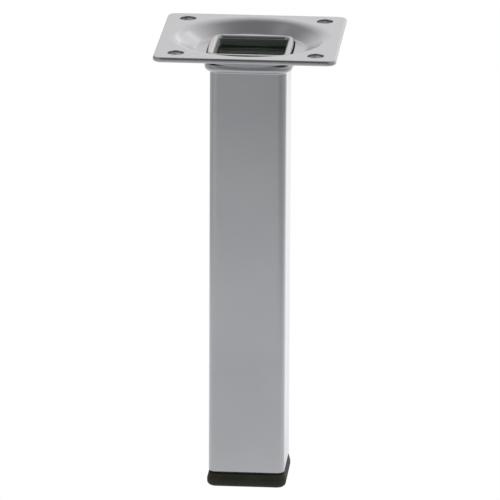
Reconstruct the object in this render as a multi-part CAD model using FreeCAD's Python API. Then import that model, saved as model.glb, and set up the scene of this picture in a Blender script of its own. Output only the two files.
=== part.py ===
import FreeCAD, Part
import math
import os

Vector = FreeCAD.Vector

# A square steel furniture leg, in millimetres. The origin is the middle of the sole of the foot, Z runs up
# the leg, and the sides of the square tube face along X and Y. The leg has three pieces: a pressed mounting
# plate, a square tube whose top end is swaged fast into that plate, and a moulded plug in its lower end.

# Whole leg
LEG_HEIGHT = 150.0                # floor to the top face of the plate

# Square tube
TUBE_WIDTH = 25.0                 # across the flats, outside
TUBE_WALL = 1.2
TUBE_INSIDE_CORNER_RADIUS = 1.4
TUBE_END_BEVEL = 0.3              # broken edge of the cut lower end

# Swaged top end of the tube: a lip flared out over the plate, and a bead folded out under it
LIP_REACH = 1.2                   # how far the lip stands out from the tube, mid-side
LIP_BOW = 0.7                     # how much less its sides stand out at their sharp corners
LIP_RECESS = 2.7                  # the lip's top lies this far below the plate's top face
LIP_EDGE_BEVEL = 0.3
MOUTH_RADIUS = 1.1                # bend of the bore onto the lip
BEAD_REACH = 2.4
BEAD_BOW = 1.3
BEAD_SEAT_SHARE = 0.35            # part of that reach which bears on the plate
BEAD_UPPER_HEIGHT = 1.9           # from the plate's underside down to the bead's widest level
BEAD_FILLET_HEIGHT = 0.5          # hollow run-out of the bead's underside onto the tube
BEAD_FILLET_SHARE = 0.2           # part of the reach that this run-out takes up
GROOVE_HEIGHT = 0.8               # gap left inside the fold of the bead
GROOVE_BEVEL_SHARE = 0.75         # part of the tube's wall that the groove's sloping mouth takes up
BEND_STEPS = 6                    # outlines for each quarter turn of the bead's section

# Pressed plate
SHEET_THICKNESS = 1.7
DISH_FLOOR_MARGIN = 0.18          # flat floor left outside the corners of the lip
DISH_FLOOR_BEND = 2.0             # inside radius, floor to wall
DISH_WALL_RUN = 6.6               # plan width of the sloping wall, between sharp corners
DISH_RIM_BEND = 5.3               # inside radius, wall to rim
PLATE_MARGIN = 3.0055             # flat rim left between the dish and the middle of each side
PLATE_CORNER_RADIUS = 3.0
PLATE_EDGE_SHARE = 0.4            # part of the sheet's thickness that each rounded edge takes up
SCREW_HOLE_DIAMETER = 5.2
SCREW_HOLE_INSET = 7.0            # from the plate's edges to the centre of a hole
SCREW_HOLE_BEVEL = 0.25
TUBE_HOLE_CLEARANCE = 0.15        # on each side of the tube

# Foot plug
SOLE_RADIUS = 1.5                 # rounding of the sole's edge
FOOT_BAND = 0.9                   # upright band above that rounding
FOOT_TAPER_HEIGHT = 2.1           # from the widest part up to the shoulder
FOOT_NECK_HEIGHT = 0.5            # set-back neck between the shoulder and the tube's end
FOOT_NECK_INSET = 0.5
FOOT_FLARE = 0.55                 # how far the widest part stands out from the tube
FOOT_FLOOR = 3.0                  # solid thickness under the hollow stem
STEM_LENGTH = 22.0                # how far the stem reaches up the tube
STEM_WALL = 1.5
STEM_CLEARANCE = 0.1              # between the fins and the bore
FIN_DEPTH = 1.2
FIN_TIP_HEIGHT = 0.5
FIN_SLOPE_HEIGHT = 1.2
FIN_PITCH = 4.5

# Worked out from the sizes above
tube_half = TUBE_WIDTH / 2
tube_corner = TUBE_INSIDE_CORNER_RADIUS + TUBE_WALL
bore_half = tube_half - TUBE_WALL

foot_wide_level = SOLE_RADIUS + FOOT_BAND
foot_shoulder = foot_wide_level + FOOT_TAPER_HEIGHT
foot_height = foot_shoulder + FOOT_NECK_HEIGHT

plate_top = LEG_HEIGHT
plate_bottom = plate_top - SHEET_THICKNESS
lip_top = plate_top - LIP_RECESS
dish_floor = lip_top - TUBE_WALL
dish_under = dish_floor - SHEET_THICKNESS

groove_top = dish_under - TUBE_WALL
groove_bottom = groove_top - GROOVE_HEIGHT
bead_wide_level = dish_under - BEAD_UPPER_HEIGHT
bead_bottom = groove_bottom - TUBE_WALL
bead_foot = bead_bottom - BEAD_FILLET_HEIGHT


def face_at(shape, level):
    """The largest flat level face of a shape at one height."""
    faces = [
        face for face in shape.Faces
        if face.BoundBox.ZLength < 1e-4 and abs(face.BoundBox.ZMin - level) < 1e-4
    ]
    return max(faces, key=lambda face: face.Area)


def outer_edges(shape, level):
    """The edges round the outside of the level face at one height."""
    return face_at(shape, level).OuterWire.Edges


def inner_edges(shape, level):
    """The edges of the holes in the level face at one height."""
    face = face_at(shape, level)
    inner_wires = [wire for wire in face.Wires if not wire.isSame(face.OuterWire)]
    return [edge for wire in inner_wires for edge in wire.Edges]


def quarter_turns(make_side):
    """A closed outline from the edges of one side and corner, repeated on all four sides."""
    edges = []
    for turn in range(4):
        spin = FreeCAD.Rotation(Vector(0, 0, 1), 90 * turn)
        edges.extend(make_side(spin.multVec))
    return Part.Wire(edges)


def rounded_square(half_width, corner_radius, level):
    """A level square outline with round corners, centred on the leg."""
    flat = half_width - corner_radius
    side_start = Vector(-flat, -half_width, level)
    side_end = Vector(flat, -half_width, level)
    corner_middle = Vector(flat, -flat, level) + Vector(1, -1, 0).normalize() * corner_radius
    corner_end = Vector(half_width, -flat, level)

    def side(spin):
        straight = Part.LineSegment(spin(side_start), spin(side_end))
        corner = Part.Arc(spin(side_end), spin(corner_middle), spin(corner_end))
        return straight.toShape(), corner.toShape()

    return quarter_turns(side)


def bowed_corner(half_width, corner_radius, bow):
    """Radius of a bowed side, and how far along X and Y the corner arc's centre lies.

    Each side bulges by bow between its sharp corners. The corner arc is tangent to the two sides it joins.
    """
    sharp_corner = half_width - bow
    side_radius = (sharp_corner ** 2 + bow ** 2) / (2 * bow)
    side_centre = half_width - side_radius
    inner_radius = side_radius - corner_radius
    corner_centre = (side_centre + math.sqrt(2 * inner_radius ** 2 - side_centre ** 2)) / 2
    return side_radius, corner_centre


def bowed_square(half_width, corner_radius, bow, level):
    """A level square outline with bowed sides, the form a square tube takes where its wall is forced out."""
    side_radius, corner_centre = bowed_corner(half_width, corner_radius, bow)
    side_centre = Vector(0, side_radius - half_width, level)
    corner_at = Vector(corner_centre, -corner_centre, level)
    side_middle = Vector(0, -half_width, level)
    side_end = side_centre + (corner_at - side_centre).normalize() * side_radius
    side_start = Vector(-side_end.x, side_end.y, level)
    corner_middle = corner_at + Vector(1, -1, 0).normalize() * corner_radius
    corner_end = Vector(-side_end.y, -side_end.x, level)

    def side(spin):
        bulge = Part.Arc(spin(side_start), spin(side_middle), spin(side_end))
        corner = Part.Arc(spin(side_end), spin(corner_middle), spin(corner_end))
        return bulge.toShape(), corner.toShape()

    return quarter_turns(side)


def prism(outline, top):
    """A bar that stands on a level outline and reaches up to one height."""
    height = top - outline.BoundBox.ZMin
    return Part.Face(outline).extrude(Vector(0, 0, height))


def rounded_section(corners):
    """A closed upright section in the XZ plane, from corners given as (x, z, rounding radius)."""
    points = [Vector(x, 0, z) for x, z, _ in corners]
    bends = []
    for index, point in enumerate(points):
        radius = corners[index][2]
        back = (points[index - 1] - point).normalize()
        ahead = (points[(index + 1) % len(points)] - point).normalize()
        half_angle = back.getAngle(ahead) / 2
        setback = radius / math.tan(half_angle)
        crown = radius / math.sin(half_angle) - radius
        middle = point + (back + ahead).normalize() * crown
        bends.append((point + back * setback, middle, point + ahead * setback, radius))
    edges = []
    for index, (start, middle, end, radius) in enumerate(bends):
        if radius > 0:
            edges.append(Part.Arc(start, middle, end).toShape())
        next_start = bends[(index + 1) % len(bends)][0]
        edges.append(Part.LineSegment(end, next_start).toShape())
    return Part.Face(Part.Wire(edges))


def dish_sizes():
    """Slope of the dish wall, plan radii of its two sharp corners, and where the flat rim begins."""
    lip_corner = tube_corner + LIP_REACH
    _, lip_corner_centre = bowed_corner(tube_half + LIP_REACH, lip_corner, LIP_BOW)
    lip_corner_reach = lip_corner_centre * math.sqrt(2) + lip_corner
    slope = math.atan2(plate_top - dish_floor, DISH_WALL_RUN)
    floor_corner = lip_corner_reach + DISH_FLOOR_MARGIN + DISH_FLOOR_BEND * math.tan(slope / 2)
    rim_corner = floor_corner + DISH_WALL_RUN
    rim_start = rim_corner + (DISH_RIM_BEND + SHEET_THICKNESS) * math.tan(slope / 2)
    return slope, floor_corner, rim_corner, rim_start


def mounting_plate():
    """A square of sheet steel pressed into a round dish, with a square hole for the tube."""
    slope, floor_corner, rim_corner, rim_start = dish_sizes()
    plate_half = rim_start + PLATE_MARGIN
    blank_radius = plate_half * math.sqrt(2)
    under_shift = SHEET_THICKNESS * math.tan(slope / 2)
    section = rounded_section([
        (0, dish_floor, 0),
        (floor_corner, dish_floor, DISH_FLOOR_BEND),
        (rim_corner, plate_top, DISH_RIM_BEND + SHEET_THICKNESS),
        (blank_radius, plate_top, 0),
        (blank_radius, plate_bottom, 0),
        (rim_corner + under_shift, plate_bottom, DISH_RIM_BEND),
        (floor_corner + under_shift, dish_under, DISH_FLOOR_BEND + SHEET_THICKNESS),
        (0, dish_under, 0),
    ])
    pressed_disc = section.revolve(Vector(0, 0, 0), Vector(0, 0, 1), 360)
    square_blank = prism(rounded_square(plate_half, PLATE_CORNER_RADIUS, dish_under), plate_top)
    plate = pressed_disc.common(square_blank)
    edge_radius = SHEET_THICKNESS * PLATE_EDGE_SHARE
    plate = plate.makeFillet(edge_radius, outer_edges(plate, plate_top))
    plate = plate.makeFillet(edge_radius, outer_edges(plate, plate_bottom))

    hole_radius = SCREW_HOLE_DIAMETER / 2
    hole_place = plate_half - SCREW_HOLE_INSET
    bevel_level = plate_top - SCREW_HOLE_BEVEL
    for x in (-hole_place, hole_place):
        for y in (-hole_place, hole_place):
            hole = Part.makeCylinder(hole_radius, SHEET_THICKNESS, Vector(x, y, plate_bottom))
            mouth = Part.makeCone(
                hole_radius, hole_radius + SCREW_HOLE_BEVEL, SCREW_HOLE_BEVEL, Vector(x, y, bevel_level)
            )
            plate = plate.cut(hole.fuse(mouth))
    tube_hole = rounded_square(tube_half + TUBE_HOLE_CLEARANCE, tube_corner + TUBE_HOLE_CLEARANCE, dish_under)
    return plate.cut(prism(tube_hole, dish_floor))


def bead_outline(spread, level):
    """The bead's outline where it stands out by a share of its full reach."""
    if spread == 0:
        return rounded_square(tube_half, tube_corner, level)
    reach = BEAD_REACH * spread
    return bowed_square(tube_half + reach, tube_corner + reach, BEAD_BOW * spread, level)


def quarter_bend(start, end, level_first):
    """A stretch of the bead between two stations given as (spread, level), a quarter turn in section.

    The section starts level and ends upright, or the other way round.
    """
    outlines = [bead_outline(*start)]
    for step in range(1, BEND_STEPS + 1):
        angle = math.pi / 2 * step / BEND_STEPS
        shares = [math.sin(angle), 1 - math.cos(angle)]
        if not level_first:
            shares.reverse()
        spread, level = [low + (high - low) * share for low, high, share in zip(start, end, shares)]
        outlines.append(bead_outline(spread, level))
    return Part.makeLoft(outlines, True, True)


def bead():
    """The folded bead: a round nose that bears on the plate, and a hollow run-out onto the tube."""
    seat = (BEAD_SEAT_SHARE, dish_under)
    nose = (1, bead_wide_level)
    underside = (BEAD_FILLET_SHARE, bead_bottom)
    foot = (0, bead_foot)
    return [
        quarter_bend(seat, nose, True),
        quarter_bend(nose, underside, False),
        quarter_bend(underside, foot, True),
    ]


def leg_tube():
    """The square tube, with the lip and the bead that hold the plate between them."""
    shank = prism(rounded_square(tube_half, tube_corner, foot_height), bead_foot)
    neck = prism(rounded_square(tube_half, tube_corner, dish_under), dish_floor)
    lip = prism(bowed_square(tube_half + LIP_REACH, tube_corner + LIP_REACH, LIP_BOW, dish_floor), lip_top)
    tube = shank.fuse(bead() + [neck, lip]).removeSplitter()

    bore = prism(rounded_square(bore_half, TUBE_INSIDE_CORNER_RADIUS, foot_height), lip_top)
    groove_corner = TUBE_INSIDE_CORNER_RADIUS + BEAD_REACH
    groove = prism(bowed_square(bore_half + BEAD_REACH, groove_corner, BEAD_BOW, groove_bottom), groove_top)
    tube = tube.cut(bore.fuse(groove))
    groove_mouth = inner_edges(tube, groove_top) + inner_edges(tube, groove_bottom)
    tube = tube.makeChamfer(TUBE_WALL * GROOVE_BEVEL_SHARE, groove_mouth)
    tube = tube.makeFillet(MOUTH_RADIUS, inner_edges(tube, lip_top))
    tube = tube.makeChamfer(LIP_EDGE_BEVEL, outer_edges(tube, lip_top))
    return tube.makeChamfer(TUBE_END_BEVEL, outer_edges(tube, foot_height))


def foot_plug():
    """The moulded plug: a flared sole under the tube, and a hollow finned stem inside it."""
    widest = rounded_square(tube_half + FOOT_FLARE, tube_corner + FOOT_FLARE, foot_wide_level)
    shoulder = rounded_square(tube_half, tube_corner, foot_shoulder)
    taper = Part.makeLoft([widest, shoulder], True, True)
    neck_corner = tube_corner - FOOT_NECK_INSET
    neck = prism(rounded_square(tube_half - FOOT_NECK_INSET, neck_corner, foot_shoulder), foot_height)
    sole = prism(rounded_square(tube_half + FOOT_FLARE, tube_corner + FOOT_FLARE, 0), foot_wide_level)
    sole = sole.makeFillet(SOLE_RADIUS, outer_edges(sole, 0))

    fin_half = bore_half - STEM_CLEARANCE
    stem_half = fin_half - FIN_DEPTH
    hollow_half = stem_half - STEM_WALL
    stem_top = foot_height + STEM_LENGTH
    stem = prism(rounded_square(stem_half, TUBE_INSIDE_CORNER_RADIUS, foot_height), stem_top)
    fin_height = FIN_TIP_HEIGHT + FIN_SLOPE_HEIGHT
    fin_count = int((STEM_LENGTH - fin_height) / FIN_PITCH)
    fins = []
    for index in range(fin_count):
        fin_bottom = foot_height + FIN_PITCH * (index + 1) - fin_height
        fins.append(Part.makeLoft([
            rounded_square(fin_half, TUBE_INSIDE_CORNER_RADIUS, fin_bottom),
            rounded_square(fin_half, TUBE_INSIDE_CORNER_RADIUS, fin_bottom + FIN_TIP_HEIGHT),
            rounded_square(stem_half, TUBE_INSIDE_CORNER_RADIUS, fin_bottom + fin_height),
        ], True, True))
    hollow = prism(rounded_square(hollow_half, TUBE_INSIDE_CORNER_RADIUS, FOOT_FLOOR), stem_top)
    return sole.fuse([taper, neck, stem] + fins).removeSplitter().cut(hollow)


PIECES = {
    "mounting_plate": mounting_plate,
    "leg_tube": leg_tube,
    "foot_plug": foot_plug,
}
os.makedirs("parts", exist_ok=True)
for name, make_piece in PIECES.items():
    make_piece().exportStep(f"parts/{name}.step")
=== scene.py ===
import math

import bpy
from mathutils import Matrix, Vector

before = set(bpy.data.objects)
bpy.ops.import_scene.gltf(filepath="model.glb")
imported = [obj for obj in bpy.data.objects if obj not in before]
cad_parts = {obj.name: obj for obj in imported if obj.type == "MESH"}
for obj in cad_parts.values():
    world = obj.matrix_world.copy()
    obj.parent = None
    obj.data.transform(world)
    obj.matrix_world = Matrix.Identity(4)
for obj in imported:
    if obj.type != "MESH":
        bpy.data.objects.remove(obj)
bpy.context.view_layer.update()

MM = 0.001

# Sizes of the leg that its finish follows
TUBE_FLAT = 9.9 * MM              # from the tube's middle to where its corners start to round
WALL_MIDDLE = 2.0 * MM            # from there out to the middle of the tube's wall
LIP_HALF = 13.7 * MM              # from the tube's middle to the lip's side
LIP_SIDE_RADIUS = 121.1 * MM      # to which that side is bowed
LIP_CORNER = 9.514 * MM           # along X and Y, to the centre of the lip's rounded corner
LIP_CORNER_RADIUS = 3.8 * MM
PLATE_TOP = 150.0 * MM
SCREW_HOLE_PLACE = 22.5 * MM      # along X and Y from the middle
SCREW_HOLE_RADIUS = 2.6 * MM

# Bare steel in the bore
COAT_DEPTH = 146.0 * MM           # the powder reaches down into the tube to this height
COAT_FADE = 0.2 * MM              # it thins out over this much above and below
FOLD_LEVEL = 142.8 * MM           # middle of the fold inside the bead
FOLD_HALF = 1.4 * MM              # half the height of the fold's mouth
FOLD_DEPTH = 1.0 * MM             # how much further out the bare steel reaches there

# Painted light on the bore's left wall, a pale matte band where light falls in from the right
LEFT_LIGHT_START = -10.6 * MM         # along X, where it starts
LEFT_LIGHT_FULL = -11.2 * MM          # along X, where it covers the wall
LEFT_LIGHT_BOTTOM = 142.9 * MM        # the lowest that it reaches
LEFT_LIGHT_TOP = 143.9 * MM           # it covers the wall from this height up

# Painted shade in the gaps between the tube and the plate
JOINT_SHADE_WIDTH = 0.4 * MM             # width of the painted shade line where the lip meets the plate
JOINT_SHADE_OVERLAP = 0.05 * MM         # how far that line spreads past both its sides
JOINT_SHADE_LEVEL = 146.3 * MM          # middle of that line on the lip's edge
JOINT_SHADE_HALF = 0.25 * MM            # half its height there
SEAT_SHADE_LEVEL = 144.08 * MM          # middle of the painted shade on the bead's top under the pressed dish
SEAT_SHADE_HALF = 0.3 * MM              # half its height
SEAT_SHADE_START = 3.0 * MM         # from the middle of a side to where the dish starts to lift off the bead and the painted shade starts
SEAT_SHADE_END = 7.0 * MM           # from the middle of a side to where the dish is clear of the bead and the painted shade is full

# Painted shade on the upper walls of the screw holes
HOLE_SHADE_START = 0.15 * MM           # the painted shade starts this far outside a hole's wall
HOLE_SHADE_FULL = 0.05 * MM            # and is full this far outside it
HOLE_SHADE_TOP = 0.35 * MM             # it is full down to this far below the plate's top
HOLE_SHADE_BOTTOM = 0.8 * MM           # and ends this far below it

# Silver powder coat, with the sizes of its patterns in millimetres
FLAKE_SIZE = 0.5                  # coarser than real flake, so that it shows
FLAKE_SHARE = 0.5                 # the flake counts this much beside the cloud
CLOUD_SIZE = 30.0
PEEL_SIZE = 1.6
PEEL_HEIGHT = 0.02 * MM
PEEL_STRENGTH = 0.25
SILVER_DARK = "#a6a9ad"
SILVER_DARK_TONE = 0.45           # sum of flake and cloud that shows as the dark silver
SILVER_LIGHT = "#b2b4b7"
SILVER_LIGHT_TONE = 1.0           # sum of flake and cloud that shows as the light silver
# The next colour is painted shade, for the gaps at the lip and on the bead's top
GAP_SHADE_COLOUR = "#121213"
BARE_STEEL_COLOUR = "#8c9991"
# The next colour is painted light, a pale band on the bore's left wall
LEFT_WALL_LIGHT_COLOUR = "#d6d7d6"
# The next colour is painted shade, in the upper walls of the screw holes
HOLE_SHADE_COLOUR = "#58585a"
COAT_METALLIC = 0.85
COAT_SMOOTH = 0.23                # lowest roughness
COAT_DULL = 0.27                  # highest roughness
BARE_DULLNESS = 0.25              # roughness that the bare steel adds
GAP_SHADE_DULLNESS = 0.6                # roughness added where shade is painted in the gaps
FILM_WEIGHT = 0.4                 # of the clear resin over the flake
FILM_ROUGHNESS = 0.15

# Black plastic, with the sizes of its patterns in millimetres
GRAIN_SIZE = 0.6                  # coarser than the mould's real grain, so that it shows
GRAIN_HEIGHT = 0.03 * MM
GRAIN_STRENGTH = 0.4
MOTTLE_SIZE = 9.0
PLASTIC_DARK = "#25261b"
PLASTIC_LIGHT = "#333428"
PLASTIC_SMOOTH = 0.58             # lowest roughness
PLASTIC_DULL = 0.68               # highest roughness

# Span of a noise pattern's values that most of it lies in
NOISE_LOW = 0.3
NOISE_HIGH = 0.7

# Camera at the photo's viewing angle, with the photo's 500 pixel frame
FRAME_PIXELS = 500
FOCAL_PIXELS = 6000
SENSOR_WIDTH = 36.0
CAMERA_PLACE = Vector((146.17, -1879.85, 636.18)) * MM
CAMERA_TURN = 0.07759             # to the left, in radians
CAMERA_TILT = 0.28787             # downwards
CAMERA_ROLL = 0.00482
CAMERA_NEAR = 0.05
CAMERA_FAR = 100.0

# Studio, in metres and as radiance, where 1 shows as white
ROOM_SIZE = 40.0
FLOOR_LIGHT_SIZE = 24.0
# Radiance of the floor along Y
FLOOR_SHADES = ((-0.8, 0.5), (-0.45, 0.65), (-0.25, 0.89), (-0.05, 0.88), (0.08, 1.12), (0.35, 1.2))
FLOOR_SIDE_SHADE = 0.6            # share of that far to the left and right
FLOOR_SIDE_START = 0.15           # from the bright strip's middle, where this fall-off starts and ends
FLOOR_SIDE_END = 0.4
FLOOR_SLANT = 0.5                 # how far the strip turns to the right for each metre to the back
BACK_LIGHT = Vector((0.35, 0.87, 0.33))   # towards the room's bright part behind the leg
BACK_LIGHT_SPREAD = 0.55          # sideways directions count by this share, so the light is wide
# Radiance of the room against the cosine of the angle from the back light
ROOM_SHADES = (
    (-0.6, 0.03), (-0.1, 0.1), (0.2, 0.22), (0.66, 0.34),
    (0.76, 0.6), (0.85, 0.9), (0.91, 1.01), (0.97, 1.18),
)
ROOM_TINT = (1.02, 0.985, 0.985)  # a little rosy
TUBE_TARGET = (0, 0, 0.1)         # what the low softboxes face
PLATE_TARGET = (0, 0, 0.15)       # what the high and the far ones face
# Name, place, target, width, height and radiance
SOFTBOXES = (
    ("front_softbox", (0.2, -1.8, 0.45), TUBE_TARGET, 2.4, 0.5, 0.35),
    ("right_softbox", (1.6, -0.2, 0.4), TUBE_TARGET, 1.6, 0.5, 0.6),
    ("left_softbox", (-1.6, -0.2, 0.4), TUBE_TARGET, 1.6, 0.5, 0.5),
    ("front_right_softbox", (1.2, -1.2, 0.55), TUBE_TARGET, 1.0, 0.7, 0.65),
    ("front_left_softbox", (-1.2, -1.2, 0.55), TUBE_TARGET, 1.0, 0.7, 0.65),
    ("high_right_softbox", (1.35, 0.1, 1.9), PLATE_TARGET, 1.6, 1.4, 0.5),
    ("high_left_softbox", (-1.35, 0.1, 1.9), PLATE_TARGET, 1.6, 1.4, 0.5),
    ("high_front_right_softbox", (1.0, -1.0, 1.7), PLATE_TARGET, 1.2, 1.1, 0.3),
    ("high_front_left_softbox", (-1.0, -1.0, 1.7), PLATE_TARGET, 1.2, 1.1, 0.3),
    ("back_strip", (0.26, 3.0, 0.67), PLATE_TARGET, 0.25, 1.25, 0.3),
    ("back_lamp", (0.975, 2.463, 1.558), PLATE_TARGET, 0.2, 0.5, 0.9),
)


def linear(hex_colour):
    """Linear red, green, blue and alpha of an sRGB hex colour."""
    channels = [int(hex_colour[place:place + 2], 16) / 255 for place in (1, 3, 5)]
    return [c / 12.92 if c <= 0.04045 else ((c + 0.055) / 1.055) ** 2.4 for c in channels] + [1.0]


def add_node(material, kind, settings=None, values=None, links=None):
    """Adds a node to a material or world, with its settings, socket values and incoming links."""
    node = material.node_tree.nodes.new(kind)
    for name, setting in (settings or {}).items():
        setattr(node, name, setting)
    for socket, value in (values or {}).items():
        node.inputs[socket].default_value = value
    for socket, source in (links or {}).items():
        material.node_tree.links.new(source, node.inputs[socket])
    return node


def new_material(name):
    """A material whose nodes are all still to be added."""
    material = bpy.data.materials.new(name)
    material.use_nodes = True
    material.node_tree.nodes.clear()
    return material


def per_metre(millimetres):
    """Scale of a texture whose features repeat at a size in millimetres."""
    return 1 / (millimetres * MM)


def add_shades(material, shades, source, tint=(1.0, 1.0, 1.0)):
    """A tinted grey that follows a value through stops given as (value, radiance)."""
    low = shades[0][0]
    high = shades[-1][0]
    share = add_node(material, "ShaderNodeMapRange", values={"From Min": low, "From Max": high}, links={
        "Value": source,
    })
    ramp = add_node(material, "ShaderNodeValToRGB", links={"Fac": share.outputs["Result"]})
    stops = ramp.color_ramp.elements
    while len(stops) < len(shades):
        stops.new(1.0)
    for stop, (value, radiance) in zip(stops, shades):
        stop.position = (value - low) / (high - low)
        stop.color = [radiance * channel for channel in tint] + [1.0]
    return ramp.outputs["Color"]


def silver_tone(material, place, cloud):
    """Silver that a fine flake and a slow cloud make a little darker and lighter."""
    flake = add_node(material, "ShaderNodeTexNoise", values={
        "Scale": per_metre(FLAKE_SIZE), "Detail": 2.0, "Roughness": 0.6,
    }, links={"Vector": place})
    tone = add_node(material, "ShaderNodeMath", settings={"operation": "MULTIPLY_ADD"}, values={
        1: FLAKE_SHARE,
    }, links={0: flake.outputs["Fac"], 2: cloud})
    silver = add_node(material, "ShaderNodeValToRGB", links={"Fac": tone.outputs[0]})
    silver.color_ramp.elements[0].position = SILVER_DARK_TONE
    silver.color_ramp.elements[0].color = linear(SILVER_DARK)
    silver.color_ramp.elements[1].position = SILVER_LIGHT_TONE
    silver.color_ramp.elements[1].color = linear(SILVER_LIGHT)
    return silver.outputs["Color"]


def quarter_of_leg(material, place):
    """Place across the leg, with its four quarters folded onto one, as they are all alike."""
    across = add_node(material, "ShaderNodeVectorMath", settings={"operation": "MULTIPLY"}, values={
        1: (1.0, 1.0, 0.0),
    }, links={0: place})
    quarter = add_node(material, "ShaderNodeVectorMath", settings={"operation": "ABSOLUTE"}, links={
        0: across.outputs["Vector"],
    })
    return quarter.outputs["Vector"]


def from_middle_of_side(material, quarter):
    """Distance along a side from its middle."""
    axes = add_node(material, "ShaderNodeSeparateXYZ", links={"Vector": quarter})
    nearer = add_node(material, "ShaderNodeMath", settings={"operation": "MINIMUM"}, links={
        0: axes.outputs["X"], 1: axes.outputs["Y"],
    })
    return nearer.outputs[0]


def bore_walls(material, height, quarter):
    """1 inside the middle of the tube's wall, and further out in the fold of the bead."""
    beyond = add_node(material, "ShaderNodeVectorMath", settings={"operation": "SUBTRACT"}, values={
        1: (TUBE_FLAT, TUBE_FLAT, 0.0),
    }, links={0: quarter})
    outward = add_node(material, "ShaderNodeVectorMath", settings={"operation": "MAXIMUM"}, values={
        1: (0.0, 0.0, 0.0),
    }, links={0: beyond.outputs["Vector"]})
    reach = add_node(material, "ShaderNodeVectorMath", settings={"operation": "LENGTH"}, links={
        0: outward.outputs["Vector"],
    })
    fold = add_node(material, "ShaderNodeMath", settings={"operation": "COMPARE"}, values={
        1: FOLD_LEVEL, 2: FOLD_HALF,
    }, links={0: height})
    limit = add_node(material, "ShaderNodeMath", settings={"operation": "MULTIPLY_ADD"}, values={
        1: FOLD_DEPTH, 2: WALL_MIDDLE,
    }, links={0: fold.outputs[0]})
    inside = add_node(material, "ShaderNodeMath", settings={"operation": "LESS_THAN"}, links={
        0: reach.outputs["Value"], 1: limit.outputs[0],
    })
    return inside.outputs[0]


def bare_steel(material, height, inside):
    """1 on the bore's walls below the powder."""
    deep = add_node(material, "ShaderNodeMapRange", values={
        "From Min": COAT_DEPTH + COAT_FADE, "From Max": COAT_DEPTH - COAT_FADE,
    }, links={"Value": height})
    bare = add_node(material, "ShaderNodeMath", settings={"operation": "MULTIPLY"}, links={
        0: inside, 1: deep.outputs["Result"],
    })
    return bare.outputs[0]


def left_wall_light(material, axes, inside):
    """1 at the top of the bore's left wall, where light is painted in as a pale matte band."""
    left_wall = add_node(material, "ShaderNodeMapRange", values={
        "From Min": LEFT_LIGHT_START, "From Max": LEFT_LIGHT_FULL,
    }, links={"Value": axes.outputs["X"]})
    upper = add_node(material, "ShaderNodeMapRange", values={
        "From Min": LEFT_LIGHT_BOTTOM, "From Max": LEFT_LIGHT_TOP,
    }, links={"Value": axes.outputs["Z"]})
    upper_left = add_node(material, "ShaderNodeMath", settings={"operation": "MULTIPLY"}, links={
        0: left_wall.outputs["Result"], 1: upper.outputs["Result"],
    })
    powder = add_node(material, "ShaderNodeMath", settings={"operation": "MULTIPLY"}, links={
        0: upper_left.outputs[0], 1: inside,
    })
    return powder.outputs[0]


def lip_joint_shade(material, height, quarter, from_middle):
    """1 along the line where the lip's bowed sides and rounded corners meet the plate, where shade is
    painted in.
    """
    # Measured from the centre of a side's bow, so that the lip's edge lies at the bow's radius all round
    side_centre = LIP_HALF - LIP_SIDE_RADIUS
    from_x_centre = add_node(material, "ShaderNodeVectorMath", settings={"operation": "DISTANCE"}, values={
        1: (side_centre, 0.0, 0.0),
    }, links={0: quarter})
    from_y_centre = add_node(material, "ShaderNodeVectorMath", settings={"operation": "DISTANCE"}, values={
        1: (0.0, side_centre, 0.0),
    }, links={0: quarter})
    along_sides = add_node(material, "ShaderNodeMath", settings={"operation": "MAXIMUM"}, links={
        0: from_x_centre.outputs["Value"], 1: from_y_centre.outputs["Value"],
    })
    from_corner = add_node(material, "ShaderNodeVectorMath", settings={"operation": "DISTANCE"}, values={
        1: (LIP_CORNER, LIP_CORNER, 0.0),
    }, links={0: quarter})
    round_corner = add_node(material, "ShaderNodeMath", settings={"operation": "ADD"}, values={
        1: LIP_SIDE_RADIUS - LIP_CORNER_RADIUS,
    }, links={0: from_corner.outputs["Value"]})
    in_corner = add_node(material, "ShaderNodeMath", settings={"operation": "GREATER_THAN"}, values={
        1: LIP_CORNER,
    }, links={0: from_middle})
    outline = add_node(material, "ShaderNodeMix", links={
        "Factor": in_corner.outputs[0], "A": along_sides.outputs[0], "B": round_corner.outputs[0],
    })
    beside_lip = add_node(material, "ShaderNodeMath", settings={"operation": "COMPARE"}, values={
        1: LIP_SIDE_RADIUS + JOINT_SHADE_WIDTH / 2, 2: JOINT_SHADE_WIDTH / 2 + JOINT_SHADE_OVERLAP,
    }, links={0: outline.outputs["Result"]})
    low_on_lip = add_node(material, "ShaderNodeMath", settings={"operation": "COMPARE"}, values={
        1: JOINT_SHADE_LEVEL, 2: JOINT_SHADE_HALF,
    }, links={0: height})
    joint_shade = add_node(material, "ShaderNodeMath", settings={"operation": "MULTIPLY"}, links={
        0: beside_lip.outputs[0], 1: low_on_lip.outputs[0],
    })
    return joint_shade.outputs[0]


def seat_gap_shade(material, height, from_middle):
    """1 on the bead's top towards its corners, where the round dish bends up and away from it and shade is
    painted in.
    """
    seat = add_node(material, "ShaderNodeMath", settings={"operation": "COMPARE"}, values={
        1: SEAT_SHADE_LEVEL, 2: SEAT_SHADE_HALF,
    }, links={0: height})
    opening = add_node(material, "ShaderNodeMapRange", values={
        "From Min": SEAT_SHADE_START, "From Max": SEAT_SHADE_END,
    }, links={"Value": from_middle})
    gap_shade = add_node(material, "ShaderNodeMath", settings={"operation": "MULTIPLY"}, links={
        0: seat.outputs[0], 1: opening.outputs["Result"],
    })
    return gap_shade.outputs[0]


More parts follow.
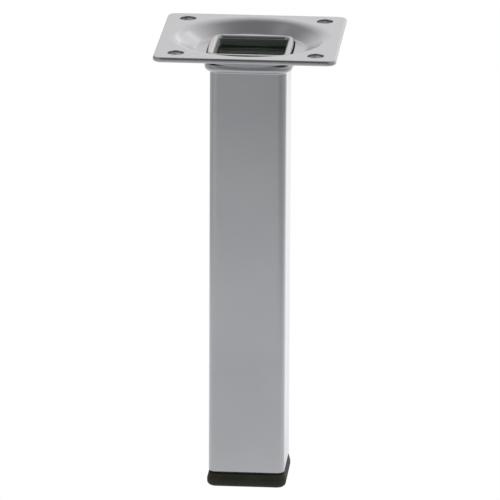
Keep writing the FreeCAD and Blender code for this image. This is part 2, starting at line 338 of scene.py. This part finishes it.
def hole_wall_shade(material, height, quarter):
    """1 on the upper part of the screw holes' walls, where shade is painted in."""
    from_hole = add_node(material, "ShaderNodeVectorMath", settings={"operation": "DISTANCE"}, values={
        1: (SCREW_HOLE_PLACE, SCREW_HOLE_PLACE, 0.0),
    }, links={0: quarter})
    hole = add_node(material, "ShaderNodeMapRange", values={
        "From Min": SCREW_HOLE_RADIUS + HOLE_SHADE_START, "From Max": SCREW_HOLE_RADIUS + HOLE_SHADE_FULL,
    }, links={"Value": from_hole.outputs["Value"]})
    upper = add_node(material, "ShaderNodeMapRange", values={
        "From Min": PLATE_TOP - HOLE_SHADE_BOTTOM, "From Max": PLATE_TOP - HOLE_SHADE_TOP,
    }, links={"Value": height})
    hole_shade = add_node(material, "ShaderNodeMath", settings={"operation": "MULTIPLY"}, links={
        0: hole.outputs["Result"], 1: upper.outputs["Result"],
    })
    return hole_shade.outputs[0]


def silver_powder_coat():
    """Polyester powder with aluminium flake, sprayed and baked on steel: a satin silver with a soft orange
    peel. The spray hardly reaches into the tube, so that stays bare steel, dull and a little green."""
    material = new_material("silver_powder_coat")
    place = add_node(material, "ShaderNodeTexCoord").outputs["Object"]
    axes = add_node(material, "ShaderNodeSeparateXYZ", links={"Vector": place})
    height = axes.outputs["Z"]
    quarter = quarter_of_leg(material, place)
    from_middle = from_middle_of_side(material, quarter)

    inside = bore_walls(material, height, quarter)
    bare = bare_steel(material, height, inside)
    # Painted light on the top of the bore's left wall
    powder = left_wall_light(material, axes, inside)
    # Painted shade where the lip meets the plate and on the bead's top under the dish
    gap_shade = add_node(material, "ShaderNodeMath", settings={"operation": "MAXIMUM"}, links={
        0: lip_joint_shade(material, height, quarter, from_middle),
        1: seat_gap_shade(material, height, from_middle),
    }).outputs[0]
    # Painted shade in the upper walls of the screw holes
    hole_shade = hole_wall_shade(material, height, quarter)

    cloud = add_node(material, "ShaderNodeTexNoise", values={
        "Scale": per_metre(CLOUD_SIZE), "Detail": 3.0, "Roughness": 0.5,
    }, links={"Vector": place}).outputs["Fac"]
    colour = silver_tone(material, place, cloud)
    # Over the silver: painted shade in the gaps, bare steel, painted light on the bore's left wall and
    # painted shade in the screw holes
    layers = (
        (gap_shade, GAP_SHADE_COLOUR),
        (bare, BARE_STEEL_COLOUR),
        (powder, LEFT_WALL_LIGHT_COLOUR),
        (hole_shade, HOLE_SHADE_COLOUR),
    )
    for share, layer_colour in layers:
        colour = add_node(material, "ShaderNodeMix", settings={"data_type": "RGBA"}, values={
            "B": linear(layer_colour),
        }, links={"Factor": share, "A": colour}).outputs["Result"]

    satin = add_node(material, "ShaderNodeMapRange", values={
        "From Min": NOISE_LOW, "From Max": NOISE_HIGH, "To Min": COAT_SMOOTH, "To Max": COAT_DULL,
    }, links={"Value": cloud})
    bare_gloss = add_node(material, "ShaderNodeMath", settings={"operation": "MULTIPLY_ADD"}, values={
        1: BARE_DULLNESS,
    }, links={0: bare, 2: satin.outputs["Result"]})
    gloss = add_node(material, "ShaderNodeMath", settings={"operation": "MULTIPLY_ADD"}, values={
        1: GAP_SHADE_DULLNESS,
    }, links={0: gap_shade, 2: bare_gloss.outputs[0]})
    # Matte where light is painted on the bore's left wall
    metal = add_node(material, "ShaderNodeMapRange", values={"To Min": COAT_METALLIC, "To Max": 0.0}, links={
        "Value": powder,
    })
    film = add_node(material, "ShaderNodeMapRange", values={"To Min": FILM_WEIGHT, "To Max": 0.0}, links={
        "Value": gap_shade,
    })
    peel = add_node(material, "ShaderNodeTexNoise", values={
        "Scale": per_metre(PEEL_SIZE), "Detail": 1.5, "Roughness": 0.45,
    }, links={"Vector": place})
    bump = add_node(material, "ShaderNodeBump", values={
        "Strength": PEEL_STRENGTH, "Distance": PEEL_HEIGHT,
    }, links={"Height": peel.outputs["Fac"]})
    shader = add_node(material, "ShaderNodeBsdfPrincipled", values={
        "Coat Roughness": FILM_ROUGHNESS,
    }, links={
        "Base Color": colour,
        "Metallic": metal.outputs["Result"],
        "Roughness": gloss.outputs[0],
        "Coat Weight": film.outputs["Result"],
        "Normal": bump.outputs["Normal"],
    })
    add_node(material, "ShaderNodeOutputMaterial", links={"Surface": shader.outputs["BSDF"]})
    return material


def black_moulded_plastic():
    """Polyethylene, injection moulded in a spark-eroded mould: a dull black with a fine grain."""
    material = new_material("black_moulded_plastic")
    place = add_node(material, "ShaderNodeTexCoord").outputs["Object"]
    grain = add_node(material, "ShaderNodeTexNoise", values={
        "Scale": per_metre(GRAIN_SIZE), "Detail": 2.0, "Roughness": 0.6,
    }, links={"Vector": place})
    mottle = add_node(material, "ShaderNodeTexNoise", values={
        "Scale": per_metre(MOTTLE_SIZE), "Detail": 3.0, "Roughness": 0.55,
    }, links={"Vector": place})
    colour = add_node(material, "ShaderNodeValToRGB", links={"Fac": mottle.outputs["Fac"]})
    colour.color_ramp.elements[0].position = NOISE_LOW
    colour.color_ramp.elements[0].color = linear(PLASTIC_DARK)
    colour.color_ramp.elements[1].position = NOISE_HIGH
    colour.color_ramp.elements[1].color = linear(PLASTIC_LIGHT)
    gloss = add_node(material, "ShaderNodeMapRange", values={
        "From Min": NOISE_LOW, "From Max": NOISE_HIGH, "To Min": PLASTIC_SMOOTH, "To Max": PLASTIC_DULL,
    }, links={"Value": mottle.outputs["Fac"]})
    bump = add_node(material, "ShaderNodeBump", values={
        "Strength": GRAIN_STRENGTH, "Distance": GRAIN_HEIGHT,
    }, links={"Height": grain.outputs["Fac"]})
    shader = add_node(material, "ShaderNodeBsdfPrincipled", values={
        "IOR": 1.5, "Specular IOR Level": 0.2,
    }, links={
        "Base Color": colour.outputs["Color"],
        "Roughness": gloss.outputs["Result"],
        "Normal": bump.outputs["Normal"],
    })
    add_node(material, "ShaderNodeOutputMaterial", links={"Surface": shader.outputs["BSDF"]})
    return material


def white_paper():
    """Plain white, evenly lit."""
    material = new_material("white_paper")
    shader = add_node(material, "ShaderNodeEmission", values={"Strength": 1.0})
    add_node(material, "ShaderNodeOutputMaterial", links={"Surface": shader.outputs["Emission"]})
    return material


def floor_light():
    """What the leg mirrors of the floor: bright under it and behind it, and less so in front and beside."""
    material = new_material("floor_light")
    place = add_node(material, "ShaderNodeTexCoord").outputs["Object"]
    axes = add_node(material, "ShaderNodeSeparateXYZ", links={"Vector": place})
    shade = add_shades(material, FLOOR_SHADES, axes.outputs["Y"])
    across = add_node(material, "ShaderNodeMath", settings={"operation": "MULTIPLY_ADD"}, values={
        1: -FLOOR_SLANT,
    }, links={0: axes.outputs["Y"], 2: axes.outputs["X"]})
    aside = add_node(material, "ShaderNodeMath", settings={"operation": "ABSOLUTE"}, links={
        0: across.outputs[0],
    })
    side = add_node(material, "ShaderNodeMapRange", settings={"interpolation_type": "SMOOTHSTEP"}, values={
        "From Min": FLOOR_SIDE_START, "From Max": FLOOR_SIDE_END, "To Min": 1.0, "To Max": FLOOR_SIDE_SHADE,
    }, links={"Value": aside.outputs[0]})
    shader = add_node(material, "ShaderNodeEmission", links={
        "Color": shade, "Strength": side.outputs["Result"],
    })
    add_node(material, "ShaderNodeOutputMaterial", links={"Surface": shader.outputs["Emission"]})
    return material


def dress(node_name, material):
    """Gives a CAD node its finish."""
    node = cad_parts[node_name]
    node.material_slots[0].material = material


def add_paper_room():
    """White paper all round, which the camera sees and the leg doesn't mirror."""
    bpy.ops.object.select_all(action="DESELECT")
    bpy.ops.mesh.primitive_cube_add(size=ROOM_SIZE, location=(0, 0, ROOM_SIZE / 2))
    room = bpy.context.object
    room.name = "paper_room"
    room.data.materials.append(white_paper())
    room.visible_diffuse = False
    room.visible_glossy = False
    room.visible_transmission = False
    room.visible_shadow = False


def add_floor_light():
    """A floor that the leg mirrors and the camera doesn't see."""
    bpy.ops.object.select_all(action="DESELECT")
    bpy.ops.mesh.primitive_plane_add(size=FLOOR_LIGHT_SIZE)
    floor = bpy.context.object
    floor.name = "floor_light"
    floor.data.materials.append(floor_light())
    floor.visible_camera = False


def add_softbox(name, place, target, width, height, radiance):
    """A rectangular soft light that faces a target. Its brightness is given as radiance."""
    data = bpy.data.lights.new(name, "AREA")
    data.shape = "RECTANGLE"
    data.size = width
    data.size_y = height
    data.energy = radiance * math.pi * width * height
    softbox = bpy.data.objects.new(name, data)
    softbox.location = place
    softbox.rotation_euler = (Vector(target) - Vector(place)).to_track_quat("-Z", "Y").to_euler()
    softbox.visible_camera = False
    bpy.context.scene.collection.objects.link(softbox)


def add_room_light():
    """Soft light from the walls and the ceiling, brightest behind the leg and dark behind the camera."""
    world = bpy.data.worlds.new("room_light")
    world.use_nodes = True
    world.node_tree.nodes.clear()
    direction = add_node(world, "ShaderNodeTexCoord").outputs["Generated"]
    narrowed = add_node(world, "ShaderNodeVectorMath", settings={"operation": "MULTIPLY"}, values={
        1: (BACK_LIGHT_SPREAD, 1.0, 1.0),
    }, links={0: direction})
    heading = add_node(world, "ShaderNodeVectorMath", settings={"operation": "NORMALIZE"}, links={
        0: narrowed.outputs["Vector"],
    })
    cosine = add_node(world, "ShaderNodeVectorMath", settings={"operation": "DOT_PRODUCT"}, values={
        1: BACK_LIGHT.normalized(),
    }, links={0: heading.outputs["Vector"]})
    shade = add_shades(world, ROOM_SHADES, cosine.outputs["Value"], ROOM_TINT)
    background = add_node(world, "ShaderNodeBackground", links={"Color": shade})
    add_node(world, "ShaderNodeOutputWorld", links={"Surface": background.outputs["Background"]})
    bpy.context.scene.world = world


def add_camera():
    """A camera with the photo's frame, turned, tilted and rolled about its own place."""
    data = bpy.data.cameras.new("camera")
    data.sensor_width = SENSOR_WIDTH
    data.lens = FOCAL_PIXELS * SENSOR_WIDTH / FRAME_PIXELS
    data.clip_start = CAMERA_NEAR
    data.clip_end = CAMERA_FAR
    camera = bpy.data.objects.new("camera", data)
    bpy.context.scene.collection.objects.link(camera)
    camera.matrix_world = (
        Matrix.Translation(CAMERA_PLACE)
        @ Matrix.Rotation(CAMERA_TURN, 4, "Z")
        @ Matrix.Rotation(math.pi / 2 - CAMERA_TILT, 4, "X")
        @ Matrix.Rotation(CAMERA_ROLL, 4, "Z")
    )
    bpy.context.scene.camera = camera


coat = silver_powder_coat()
dress("mounting_plate", coat)
dress("leg_tube", coat)
dress("foot_plug", black_moulded_plastic())

add_paper_room()
add_floor_light()
add_room_light()
for softbox in SOFTBOXES:
    add_softbox(*softbox)
add_camera()
bpy.context.scene.view_settings.view_transform = "Standard"
